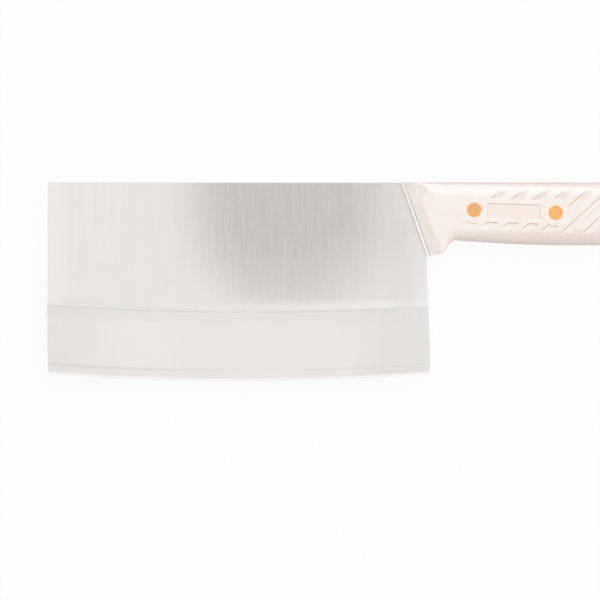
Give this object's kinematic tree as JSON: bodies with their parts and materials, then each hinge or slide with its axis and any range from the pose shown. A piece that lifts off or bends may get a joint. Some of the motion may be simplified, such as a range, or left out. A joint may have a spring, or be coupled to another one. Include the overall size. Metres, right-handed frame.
{
  "type": "chinese cleaver",
  "caption": "Tall rectangular kitchen cleaver with a ground bevel, full tang, moulded riveted scales with diagonal grip grooves and a hooked butt.",
  "frame": {"origin": "middle of the knife's box in X and Y, on the plane that the back scale lies on", "axes": "+X along the spine towards the butt, +Y from the cutting edge towards the spine, +Z out of the front scale's face"},
  "size_m": [0.321, 0.1056, 0.0182],
  "materials": {
    "blade_steel": "fine vertical brushing on the flats, satin bevel",
    "scale_plastic": "moulded, low sheen",
    "rivet_brass": "ground flush, satin"
  },
  "bodies": {
    "root": {"blade": "blade_steel", "front_scale": "scale_plastic", "back_scale": "scale_plastic", "front_rivet_pin": "rivet_brass", "front_rivet_socket": "rivet_brass", "rear_rivet_pin": "rivet_brass", "rear_rivet_socket": "rivet_brass"}
  },
  "joints": []
}
